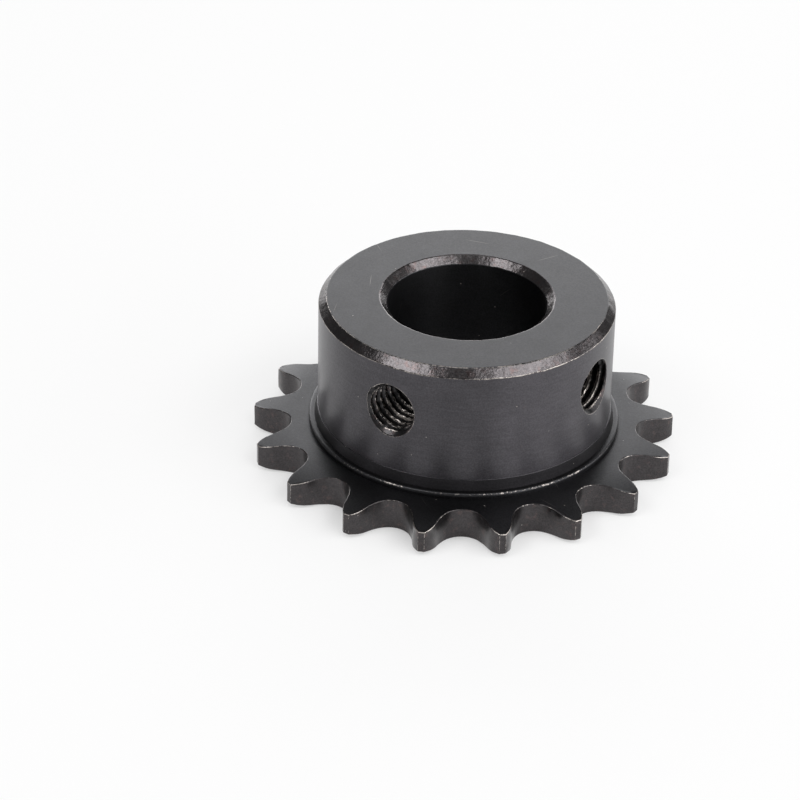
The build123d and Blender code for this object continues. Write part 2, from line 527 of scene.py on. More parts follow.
def teeth_tree():
    """Geometry nodes that repeat one tooth round the rim, let its broken edges wander and paint it."""
    tree = growing_tree(
        "Teeth round the rim", "Rim", Geometry=["Tooth"], Int=["Teeth"],
        Float=["First tooth", "Edge wander", "Wander length", "Merge distance"],
        Material=["Faced finish", "Hobbed finish"],
    )
    given = add(tree, "NodeGroupInput")

    points = add(tree, "GeometryNodePoints", {"Count": given["Teeth"]})["Points"]
    step = add(tree, "ShaderNodeMath", {0: 2 * pi, 1: given["Teeth"]}, operation="DIVIDE")[0]
    index = add(tree, "GeometryNodeInputIndex")[0]
    angle = add(
        tree, "ShaderNodeMath", {0: index, 1: step, 2: given["First tooth"]}, operation="MULTIPLY_ADD"
    )[0]
    turn = add(tree, "FunctionNodeAxisAngleToRotation", {"Axis": (0, 0, 1), "Angle": angle})[0]
    copies = add(
        tree, "GeometryNodeInstanceOnPoints",
        {"Points": points, "Instance": given["Tooth"], "Rotation": turn},
    )[0]
    real = add(tree, "GeometryNodeRealizeInstances", {"Geometry": copies})[0]
    whole = add(
        tree, "GeometryNodeMergeByDistance", {"Geometry": real, "Distance": given["Merge distance"]}
    )[0]

    frequency = add(tree, "ShaderNodeMath", {0: 1.0, 1: given["Wander length"]}, operation="DIVIDE")[0]
    texture = add(tree, "ShaderNodeTexNoise", {"Scale": frequency, "Detail": 1.0})[0]
    swing = add(tree, "ShaderNodeMath", {0: texture, 1: 0.5}, operation="SUBTRACT")[0]
    worn = add(tree, "GeometryNodeInputNamedAttribute", {"Name": WEAR_AND_HIGHLIGHT}, data_type="FLOAT")["Attribute"]
    reach = add(tree, "ShaderNodeMath", {0: swing, 1: given["Edge wander"]}, operation="MULTIPLY")[0]
    reach = add(tree, "ShaderNodeMath", {0: reach, 1: worn}, operation="MULTIPLY")[0]
    normal = add(tree, "GeometryNodeInputNormal")[0]
    offset = add(tree, "ShaderNodeVectorMath", {0: normal, "Scale": reach}, operation="SCALE")[0]
    moved = add(tree, "GeometryNodeSetPosition", {"Geometry": whole, "Offset": offset})[0]

    painted = add(
        tree, "GeometryNodeSetMaterial", {"Geometry": moved, "Material": given["Faced finish"]}
    )[0]
    cut = add(tree, "GeometryNodeInputNamedAttribute", {"Name": HOB_CUT}, data_type="BOOLEAN")["Attribute"]
    painted = add(
        tree, "GeometryNodeSetMaterial",
        {"Geometry": painted, "Selection": cut, "Material": given["Hobbed finish"]},
    )[0]
    add(tree, "NodeGroupOutput", {"Rim": painted})
    return tree


# ---- Tapped holes ----

def tapped_hole_tree():
    """Geometry nodes that roll a grid into the wall of one tapped hole along +X: a helical thread with
    a countersink, ending exactly on the hub wall and on the bore."""
    tree = growing_tree(
        "Tapped hole", "Wall", Int=["Columns", "Rows", "Turns"],
        Float=[
            "Start", "Pitch", "Drill radius", "Thread radius", "Countersink start", "Rim rounding",
            "Bore radius", "Hub radius", "Height", "Tearing", "Tear length", "Merge distance",
        ],
        Material=["Finish"],
    )
    given = add(tree, "NodeGroupInput")

    columns = add(tree, "ShaderNodeMath", {0: given["Columns"], 1: 1.0}, operation="ADD")[0]
    rows = add(tree, "ShaderNodeMath", {0: given["Rows"], 1: 1.0}, operation="ADD")[0]
    grid = add(
        tree, "GeometryNodeMeshGrid",
        {"Size X": 1.0, "Size Y": 1.0, "Vertices X": columns, "Vertices Y": rows},
    )["Mesh"]
    place = add(tree, "GeometryNodeInputPosition")[0]
    place = add(tree, "ShaderNodeVectorMath", {0: place, 1: (0.5, 0.5, 0.0)}, operation="ADD")[0]
    place = add(tree, "ShaderNodeSeparateXYZ", {0: place})
    turn, rise = place["X"], place["Y"]
    angle = add(tree, "ShaderNodeMath", {0: turn, 1: 2 * pi}, operation="MULTIPLY")[0]
    cosine = add(tree, "ShaderNodeMath", {0: angle}, operation="COSINE")[0]
    sine = add(tree, "ShaderNodeMath", {0: angle}, operation="SINE")[0]
    turns = add(
        tree, "ShaderNodeMath", {0: rise, 1: given["Turns"], 2: turn}, operation="MULTIPLY_ADD"
    )[0]
    free = add(
        tree, "ShaderNodeMath", {0: turns, 1: given["Pitch"], 2: given["Start"]}, operation="MULTIPLY_ADD"
    )[0]

    # The last rows round the rim: they step back from the hub wall and spread over it.
    from_end = add(tree, "ShaderNodeMath", {0: 1.0, 1: rise}, operation="SUBTRACT")[0]
    from_end = add(tree, "ShaderNodeMath", {0: from_end, 1: given["Rows"]}, operation="MULTIPLY")[0]
    back = add(tree, "ShaderNodeMapRange", {"Value": from_end, 1: 0.0, 2: RIM_ROWS})[0]
    back_squared = add(tree, "ShaderNodeMath", {0: back, 1: back}, operation="MULTIPLY")[0]
    inset = add(
        tree, "ShaderNodeMath", {0: back_squared, 1: given["Rim rounding"]}, operation="MULTIPLY"
    )[0]
    out = add(tree, "ShaderNodeMath", {0: 1.0, 1: back}, operation="SUBTRACT")[0]
    out_squared = add(tree, "ShaderNodeMath", {0: out, 1: out}, operation="MULTIPLY")[0]
    spread = add(tree, "ShaderNodeMath", {0: given["Rim rounding"], 1: sqrt(2)}, operation="MULTIPLY")[0]
    spread = add(tree, "ShaderNodeMath", {0: spread, 1: out_squared}, operation="MULTIPLY")[0]

    # Each pass brings a row that would stick out of the hub or into the bore back to that surface,
    # where the thread has another radius, so a few passes settle it.
    entry = tree.nodes.new("GeometryNodeRepeatInput")
    leave = tree.nodes.new("GeometryNodeRepeatOutput")
    entry.pair_with_output(leave)
    leave.repeat_items.clear()
    leave.repeat_items.new("FLOAT", "Along")
    leave.repeat_items.new("FLOAT", "Radius")
    entry.inputs["Iterations"].default_value = SETTLING_PASSES
    tree.links.new(free, entry.inputs["Along"])
    tree.links.new(given["Drill radius"], entry.inputs["Radius"])

    across = add(tree, "ShaderNodeMath", {0: entry.outputs["Radius"], 1: cosine}, operation="MULTIPLY")[0]
    across_squared = add(tree, "ShaderNodeMath", {0: across, 1: across}, operation="MULTIPLY")[0]
    ends = []
    for surface in ("Bore radius", "Hub radius"):
        squared = add(
            tree, "ShaderNodeMath", {0: given[surface], 1: given[surface]}, operation="MULTIPLY"
        )[0]
        rest = add(tree, "ShaderNodeMath", {0: squared, 1: across_squared}, operation="SUBTRACT")[0]
        ends.append(add(tree, "ShaderNodeMath", {0: rest}, operation="SQRT")[0])
    end = add(tree, "ShaderNodeMath", {0: ends[1], 1: inset}, operation="SUBTRACT")[0]
    along = add(tree, "ShaderNodeClamp", {"Value": free, "Min": ends[0], "Max": end})[0]

    from_start = add(tree, "ShaderNodeMath", {0: along, 1: given["Start"]}, operation="SUBTRACT")[0]
    phase = add(tree, "ShaderNodeMath", {0: from_start, 1: given["Pitch"]}, operation="DIVIDE")[0]
    phase = add(tree, "ShaderNodeMath", {0: phase, 1: turn}, operation="SUBTRACT")[0]
    phase = add(tree, "ShaderNodeMath", {0: phase, 1: 0.5}, operation="PINGPONG")[0]
    flank_start = CREST_ROWS / THREAD_ROWS_PER_TURN
    flank_end = FLANK_END_ROWS / THREAD_ROWS_PER_TURN
    thread = add(
        tree, "ShaderNodeMapRange",
        {
            "Value": phase, 1: flank_start, 2: flank_end,
            3: given["Drill radius"], 4: given["Thread radius"],
        },
    )[0]
    # The tap tears the crests a little.
    flat_y = add(tree, "ShaderNodeMath", {0: given["Drill radius"], 1: cosine}, operation="MULTIPLY")[0]
    flat_z = add(tree, "ShaderNodeMath", {0: given["Drill radius"], 1: sine}, operation="MULTIPLY")[0]
    spot = add(tree, "ShaderNodeCombineXYZ", {"X": along, "Y": flat_y, "Z": flat_z})[0]
    finer = add(tree, "ShaderNodeMath", {0: 1.0, 1: given["Tear length"]}, operation="DIVIDE")[0]
    torn = add(tree, "ShaderNodeTexNoise", {"Vector": spot, "Scale": finer, "Detail": 2.0})[0]
    torn = add(tree, "ShaderNodeMath", {0: torn, 1: 0.5}, operation="SUBTRACT")[0]
    thread = add(
        tree, "ShaderNodeMath", {0: torn, 1: given["Tearing"], 2: thread}, operation="MULTIPLY_ADD"
    )[0]
    cone = add(
        tree, "ShaderNodeMath", {0: along, 1: given["Countersink start"]}, operation="SUBTRACT"
    )[0]
    cone = add(tree, "ShaderNodeMath", {0: cone, 1: given["Drill radius"]}, operation="ADD")[0]
    cone = add(tree, "ShaderNodeMath", {0: cone, 1: spread}, operation="ADD")[0]
    radius = add(tree, "ShaderNodeMath", {0: thread, 1: cone}, operation="MAXIMUM")[0]
    tree.links.new(along, leave.inputs["Along"])
    tree.links.new(radius, leave.inputs["Radius"])

    along, radius = leave.outputs["Along"], leave.outputs["Radius"]
    y = add(tree, "ShaderNodeMath", {0: radius, 1: cosine}, operation="MULTIPLY")[0]
    z = add(
        tree, "ShaderNodeMath", {0: radius, 1: sine, 2: given["Height"]}, operation="MULTIPLY_ADD"
    )[0]
    wall_place = add(tree, "ShaderNodeCombineXYZ", {"X": along, "Y": y, "Z": z})[0]
    # Crests are rubbed, and are lighter towards the bottom of the hole as a painted highlight of the light
    # from above; the rim is rubbed too.
    crest = add(
        tree, "ShaderNodeMapRange",
        {"Value": radius, 1: given["Drill radius"], 2: given["Thread radius"], 3: 1.0, 4: 0.0},
    )[0]
    painted_highlight_lean = add(
        tree, "ShaderNodeMapRange",
        {"Value": sine, 1: -1.0, 2: 1.0, 3: CREST_WEAR_AND_HIGHLIGHT_LOW, 4: CREST_WEAR_AND_HIGHLIGHT_HIGH},
    )[0]
    crest = add(tree, "ShaderNodeMath", {0: crest, 1: painted_highlight_lean}, operation="MULTIPLY")[0]
    rim = add(tree, "ShaderNodeMath", {0: out, 1: RIM_WEAR}, operation="MULTIPLY")[0]
    worn = add(tree, "ShaderNodeMath", {0: crest, 1: rim}, operation="MAXIMUM")[0]
    stored = add(
        tree, "GeometryNodeStoreNamedAttribute", {"Geometry": grid, "Name": WEAR_AND_HIGHLIGHT, "Value": worn},
        data_type="FLOAT", domain="POINT",
    )[0]
    rolled = add(tree, "GeometryNodeSetPosition", {"Geometry": stored, "Position": wall_place})[0]
    welded = add(
        tree, "GeometryNodeMergeByDistance", {"Geometry": rolled, "Distance": given["Merge distance"]}
    )[0]
    real = add(tree, "GeometryNodeRealizeInstances", {"Geometry": welded})[0]
    painted = add(tree, "GeometryNodeSetMaterial", {"Geometry": real, "Material": given["Finish"]})[0]
    add(tree, "NodeGroupOutput", {"Wall": painted})
    return tree


# ---- Hub ----

def border_rings(vertices):
    """The closed borders that touch these vertices, each as a ring of vertices."""
    edges = dict.fromkeys(edge for vertex in vertices for edge in vertex.link_edges if edge.is_boundary)
    rings = []
    while edges:
        ring = list(edges.popitem()[0].verts)
        while ring[-1] is not ring[0]:
            edge = next(edge for edge in ring[-1].link_edges if edge in edges)
            del edges[edge]
            ring.append(edge.other_vert(ring[-1]))
        rings.append(ring[:-1])
    return rings


def pour(mesh, data, finishes):
    """Adds a plain mesh to the sprocket's and returns the rings of vertices that it is open at."""
    old_faces = len(mesh.faces)
    old_vertices = len(mesh.verts)
    mesh.from_mesh(data)
    mesh.faces.ensure_lookup_table()
    mesh.verts.ensure_lookup_table()
    for face in mesh.faces[old_faces:]:
        face.material_index = finishes.index(data.materials[face.material_index])
    return border_rings(mesh.verts[old_vertices:])


def zip_rings(mesh, first, second, angle_of, finish):
    """Joins two rings of vertices by triangles, stepping along whichever ring comes next by its angle."""
    rings = []
    for ring in (first, second):
        turns = sorted((angle_of(vertex.co) % (2 * pi), order) for order, vertex in enumerate(ring))
        turns.append((turns[0][0] + 2 * pi, turns[0][1]))
        rings.append([(angle, ring[order]) for angle, order in turns])
    one, other = rings
    i = j = 0
    while i + j < len(one) + len(other) - 2:
        if j == len(other) - 1 or (i < len(one) - 1 and one[i + 1][0] <= other[j + 1][0]):
            corners = (one[i][1], other[j][1], one[i + 1][1])
            i += 1
        else:
            corners = (one[i][1], other[j][1], other[j + 1][1])
            j += 1
        mesh.faces.new(corners).material_index = finish


class Corner:
    """A point of the turned profile. The finish is that of the surface after it, the rounding rounds it,
    the slide is the direction along a surface in which it wanders as it goes round, the worn value is how
    far handling has rubbed it, and the window is the opening that it belongs to."""

    def __init__(self, radius, height, finish, rounding=0.0, slide=(0, 0), worn=1.0, window=None):
        self.place = Vector((radius, height))
        self.finish = finish
        self.rounding = rounding
        self.slide = Vector(slide)
        self.worn = worn
        self.window = window
        self.seed = 0


def rounded(profile):
    """The profile with its corners rounded, and a close point on each side that keeps the flats flat."""
    result = []
    for order, corner in enumerate(profile):
        if not corner.rounding:
            corner.worn = 0.0
            result.append(corner)
            continue
        before = profile[order - 1]
        back = (before.place - corner.place).normalized() * corner.rounding
        on = (profile[order + 1].place - corner.place).normalized() * corner.rounding
        points = [(corner.place + SUPPORT_REACH * back, 0.0, before.finish)]
        for step in range(EDGE_STEPS + 1):
            share = step / EDGE_STEPS
            bend = corner.place + back * (1 - share) ** 2 + on * share**2
            points.append((bend, edge_wear(corner.worn, step), corner.finish))
        points.append((corner.place + SUPPORT_REACH * on, 0.0, corner.finish))
        for place, worn, finish in points:
            point = Corner(place.x, place.y, finish, slide=corner.slide, worn=worn)
            point.seed = order
            result.append(point)
    return result


class Window:
    """The part of a turned wall that is left open round a tapped hole."""

    def __init__(self, wall_radius, half_size, centre_height, rows):
        column_width = 2 * pi * wall_radius / HUB_COLUMNS
        self.wall_radius = wall_radius
        self.half_columns = round(half_size / column_width)
        self.half_width = self.half_columns * column_width
        self.half_height = half_size
        self.centre_height = centre_height
        self.rows = rows

    def corners(self, finish):
        """The profile's points at the window's rows, from its bottom to its top."""
        low = self.centre_height - self.half_height
        step = 2 * self.half_height / self.rows
        return [
            Corner(self.wall_radius, low + step * row, finish, window=self) for row in range(self.rows + 1)
        ]

    def unrolled(self, place, hole_angle):
        """A place on the wall as (across, up) from the hole's axis, measured along the wall."""
        turn = (atan2(place.y, place.x) - hole_angle + pi) % (2 * pi) - pi
        return Vector((turn * self.wall_radius, place.z - self.centre_height))

    def rolled(self, flat, hole_angle):
        """The place on the wall that is so far across and up from the hole's axis."""
        side = polar(self.wall_radius, hole_angle + flat.x / self.wall_radius)
        return Vector((side.x, side.y, flat.y + self.centre_height))

    def reach(self, direction):
        """From the hole's axis to the window's frame in this direction."""
        return 1 / max(abs(cos(direction)) / self.half_width, abs(sin(direction)) / self.half_height)


def fill_window(mesh, window, frame_ring, hole_ring, hole_angle, support, finish):
    """Closes the wall between a window's frame and its hole, with every point on the wall."""
    def direction(place):
        flat = window.unrolled(place, hole_angle)
        return atan2(flat.y, flat.x)

    rings = [hole_ring]
    for share in WINDOW_SHARES:
        ring = []
        for vertex in hole_ring:
            near = window.unrolled(vertex.co, hole_angle).length + support
            turn = direction(vertex.co)
            flat = polar(near + (window.reach(turn) - near) * share, turn)
            ring.append(mesh.verts.new(window.rolled(flat, hole_angle)))
        rings.append(ring)
    for inner, outer in zip(rings, rings[1:]):
        for order in range(len(inner)):
            corners = (inner[order - 1], inner[order], outer[order], outer[order - 1])
            mesh.faces.new(corners).material_index = finish
    zip_rings(mesh, rings[-1], frame_ring, direction, finish)


def hub_profile(hub, plate_thickness, hub_window, bore_window):
    """The turned surfaces as a profile: from the plate's upper face over the hub, through the bore and
    out along the lower face."""
    hub_radius = hub.hub_diameter / 2
    bore_radius = hub.bore_diameter / 2
    mouth_radius = bore_radius + hub.bore_chamfer
    shoulder_radius = hub_radius + hub.shoulder_width
    shoulder_top = plate_thickness + hub.shoulder_height
    foot_top = shoulder_top + hub.foot_rise
    top = hub.overall_length
    edge = hub.edge_round
    along_wall, along_face = (0, 1), (1, 0)
    return rounded([
        Corner(shoulder_radius, plate_thickness, FACED),
        Corner(shoulder_radius, shoulder_top, FACED, hub.shoulder_round, worn=0.98),
        # The foot's finish carries painted shade.
        Corner(hub_radius + hub.foot_flare, shoulder_top, FOOT_PAINTED_SHADE),
        Corner(hub_radius + hub.foot_ledge, foot_top, TURNED, edge / 2, worn=0.6),
        Corner(hub_radius, foot_top, TURNED),
        *hub_window.corners(TURNED),
        Corner(hub_radius, top - hub.hub_chamfer, CHAMFERED, edge, along_wall, worn=1.25),
        Corner(hub_radius - hub.hub_chamfer, top, FACED, edge, along_face, worn=1.15),
        Corner(mouth_radius, top, CHAMFERED, edge, along_face),
        Corner(bore_radius, top - hub.bore_chamfer, REAMED, edge, along_wall),
        *reversed(bore_window.corners(REAMED)),
        Corner(bore_radius, hub.bore_chamfer, CHAMFERED, edge, along_wall),
        Corner(mouth_radius, 0, FACED, edge, along_face),
        Corner(shoulder_radius, 0, FACED),
    ])


def wander(angle, corner, wavelength):
    """A value from about -1 to 1 that wanders as a corner goes round, and meets itself. Its second layer
    of noise is finer and half as strong."""
    place = Vector((cos(angle), sin(angle), 0)) * corner.place.x / wavelength
    place.z = 10 * corner.seed      # far from the other corners' noise
    return noise.noise(place) + 0.5 * noise.noise(2.7 * place)


def turn_hub(mesh, profile, hub, hole_angles):
    """Turns the profile, and leaves its windows open round the tapped holes. Returns the rings of
    vertices, and each window's frame as (window, hole angle, ring of vertices)."""
    worn_layer = mesh.verts.layers.float[WEAR_AND_HIGHLIGHT]
    rings = []
    for corner in profile:
        ring = []
        for column in range(HUB_COLUMNS):
            angle = 2 * pi * column / HUB_COLUMNS
            slid = corner.slide * hub.edge_wander * wander(angle, corner, hub.wander_length)
            place = corner.place + slid
            # Edges are rubbed most on the side towards the camera and the front lamps: wear and a painted
            # highlight in one.
            rubbed = 1 - hub.spared_and_unlit * (1 - cos(angle - hub.rubbed_and_highlit_side)) / 2
            vertex = mesh.verts.new((place.x * cos(angle), place.x * sin(angle), place.y))
            vertex[worn_layer] = corner.worn * rubbed
            ring.append(vertex)
        rings.append(ring)
    for corner, ring, following in zip(profile, rings, rings[1:]):
        for column in range(HUB_COLUMNS):
            corners = (ring[column - 1], ring[column], following[column], following[column - 1])
            mesh.faces.new(corners).material_index = corner.finish

    frames = []
    for window in dict.fromkeys(corner.window for corner in profile if corner.window):
        rows = [order for order, corner in enumerate(profile) if corner.window is window]
        for hole_angle in hole_angles:
            centre = round(hole_angle / (2 * pi) * HUB_COLUMNS)
            left, right = centre - window.half_columns, centre + window.half_columns
            frame_ring = []
            for row in rows:
                for column in range(left, right + 1):
                    vertex = rings[row][column % HUB_COLUMNS]
                    if row in (rows[0], rows[-1]) or column in (left, right):
                        frame_ring.append(vertex)
                    else:
                        mesh.verts.remove(vertex)
            frames.append((window, hole_angle, frame_ring))
    return rings, frames


def sprocket_mesh(teeth, hub, holes, finishes):
    """The whole sprocket as one closed mesh."""
    seam_radius = hub.hub_diameter / 2 + hub.shoulder_width + SEAM_GAP_MM * MM
    rim = grown("toothed_rim", one_tooth(teeth, seam_radius), teeth_tree(), {
        "Teeth": teeth.tooth_count,
        "First tooth": teeth.first_tooth_angle,
        "Edge wander": teeth.edge_wander,
        "Wander length": teeth.wander_length,
        "Merge distance": MERGE_DISTANCE,
        "Faced finish": finishes[FACED],
        "Hobbed finish": finishes[HOBBED],
    })
    drill_radius = holes.drill_diameter / 2
    hub_radius = hub.hub_diameter / 2
    bore_radius = hub.bore_diameter / 2
    thread_radius = holes.thread_diameter / 2
    first_turn = sqrt(bore_radius**2 - thread_radius**2) - RUN_IN_TURNS * holes.thread_pitch
    threads = grown("tapped_hole", bpy.data.meshes.new("tapped_hole"), tapped_hole_tree(), {
        "Columns": THREAD_COLUMNS,
        "Rows": THREAD_TURNS * THREAD_ROWS_PER_TURN,
        "Turns": THREAD_TURNS,
        "Start": first_turn,
        "Pitch": holes.thread_pitch,
        "Drill radius": drill_radius,
        "Thread radius": thread_radius,
        "Countersink start": hub_radius - holes.countersink,
        "Rim rounding": holes.rim_rounding,
        "Bore radius": bore_radius,
        "Hub radius": hub_radius,
        "Height": holes.height,
        "Tearing": holes.tearing,
        "Tear length": holes.tear_length,
        "Merge distance": MERGE_DISTANCE,
        "Finish": finishes[TAPPED],
    })
    countersunk_radius = drill_radius + holes.countersink
    margin = WINDOW_MARGIN_MM * MM
    hub_window = Window(hub_radius, countersunk_radius + margin, holes.height, HUB_WINDOW_ROWS)
    bore_window = Window(bore_radius, drill_radius + margin, holes.height, BORE_WINDOW_ROWS)
    hole_angles = [atan2(hole["axis"][1], hole["axis"][0]) for hole in SCREW_HOLES]

    mesh = bmesh.new()
    rim_rings = pour(mesh, rim, finishes)
    wall_rings = {}
    for hole_angle in hole_angles:
        copy = threads.copy()
        copy.transform(Matrix.Rotation(hole_angle, 4, "Z"))
        inner, outer = sorted(pour(mesh, copy, finishes), key=lambda ring: ring[0].co.xy.length)
        wall_rings[hub_window, hole_angle] = outer
        wall_rings[bore_window, hole_angle] = inner
        bpy.data.meshes.remove(copy)
    profile = hub_profile(hub, teeth.plate_thickness, hub_window, bore_window)
    rings, frames = turn_hub(mesh, profile, hub, hole_angles)
    for window, hole_angle, frame_ring in frames:
        finish = TURNED if window is hub_window else REAMED
        hole_ring = wall_rings[window, hole_angle]
        fill_window(mesh, window, frame_ring, hole_ring, hole_angle, holes.rim_rounding, finish)

    def round_axis(place):
        return atan2(place.y, place.x)

    lower, upper = sorted(rim_rings, key=lambda ring: ring[0].co.z)
    zip_rings(mesh, upper, rings[0], round_axis, FACED)
    zip_rings(mesh, lower, rings[-1], round_axis, FACED)
    bmesh.ops.recalc_face_normals(mesh, faces=mesh.faces)
    if any(not edge.is_manifold for edge in mesh.edges):
        raise RuntimeError("the sprocket's mesh isn't closed")
    bmesh.ops.triangulate(mesh, faces=mesh.faces)
    data = bpy.data.meshes.new(NODE)
    mesh.to_mesh(data)
    mesh.free()
    for finish in finishes:
        data.materials.append(finish)
    data.shade_smooth()
    data.set_sharp_from_angle(angle=SHARP_ANGLE)
    for spare in (rim, threads):
        bpy.data.meshes.remove(spare)
    return data


# ---- Finishes ----

def round_the_axis(tree):
    """Sockets for the place, the distance from the sprocket's axis, the height, and the way outward."""
    place = add(tree, "ShaderNodeTexCoord")["Object"]
    height = add(tree, "ShaderNodeSeparateXYZ", {0: place})["Z"]
    flat = add(tree, "ShaderNodeVectorMath", {0: place, 1: (1, 1, 0)}, operation="MULTIPLY")[0]
    distance = add(tree, "ShaderNodeVectorMath", {0: flat}, operation="LENGTH")["Value"]
    outward = add(tree, "ShaderNodeVectorMath", {0: flat}, operation="NORMALIZE")[0]
    outward = add(tree, "ShaderNodeSeparateXYZ", {0: outward})
    return place, distance, height, outward["X"], outward["Y"]


def hairlines(tree, place, share):
    """A socket above 0 on hairline scratches, one through this share of the cells of a Voronoi pattern,
    each lying in a random plane."""
    cells = add(tree, "ShaderNodeTexVoronoi", {"Vector": place, "Scale": 1 / (SCRATCH_SPACING_MM * MM)})
    plane = add(
        tree, "ShaderNodeVectorMath", {0: cells["Color"], 1: (0.5, 0.5, 0.5)}, operation="SUBTRACT"
    )[0]
    plane = add(tree, "ShaderNodeVectorMath", {0: plane}, operation="NORMALIZE")[0]
    from_cell = add(
        tree, "ShaderNodeVectorMath", {0: place, 1: cells["Position"]}, operation="SUBTRACT"
    )[0]
    off_plane = add(
        tree, "ShaderNodeVectorMath", {0: from_cell, 1: plane}, operation="DOT_PRODUCT"
    )["Value"]
    off_plane = add(tree, "ShaderNodeMath", {0: off_plane}, operation="ABSOLUTE")[0]
    line = add(
        tree, "ShaderNodeMapRange",
        {"Value": off_plane, 1: 0.0, 2: SCRATCH_HALF_WIDTH_MM * MM, 3: SCRATCH_STRENGTH, 4: 0.0},
    )[0]
    # Each ends inside its cell.
    within = add(
        tree, "ShaderNodeMapRange", {"Value": cells["Distance"], 1: 0.2, 2: 0.4, 3: 1.0, 4: 0.0}
    )[0]
    scratch = add(tree, "ShaderNodeMath", {0: line, 1: within}, operation="MULTIPLY")[0]
    chance = add(tree, "ShaderNodeSeparateColor", {0: cells["Color"]})["Green"]
    chosen = add(tree, "ShaderNodeMath", {0: chance, 1: share}, operation="LESS_THAN")[0]
    return add(tree, "ShaderNodeMath", {0: scratch, 1: chosen}, operation="MULTIPLY")[0]


def specks(tree, place):
    """A socket that is 1 on specks of dust and lint, about a tenth of a millimetre across."""
    cells = add(tree, "ShaderNodeTexVoronoi", {"Vector": place, "Scale": 1 / (SPECK_SPACING_MM * MM)})
    near = add(tree, "ShaderNodeMath", {0: cells["Distance"], 1: SPECK_RADIUS}, operation="LESS_THAN")[0]
    chance = add(tree, "ShaderNodeSeparateColor", {0: cells["Color"]})["Red"]
    chosen = add(tree, "ShaderNodeMath", {0: chance, 1: SPECK_CHANCE}, operation="LESS_THAN")[0]
    return add(tree, "ShaderNodeMath", {0: near, 1: chosen}, operation="MULTIPLY")[0]


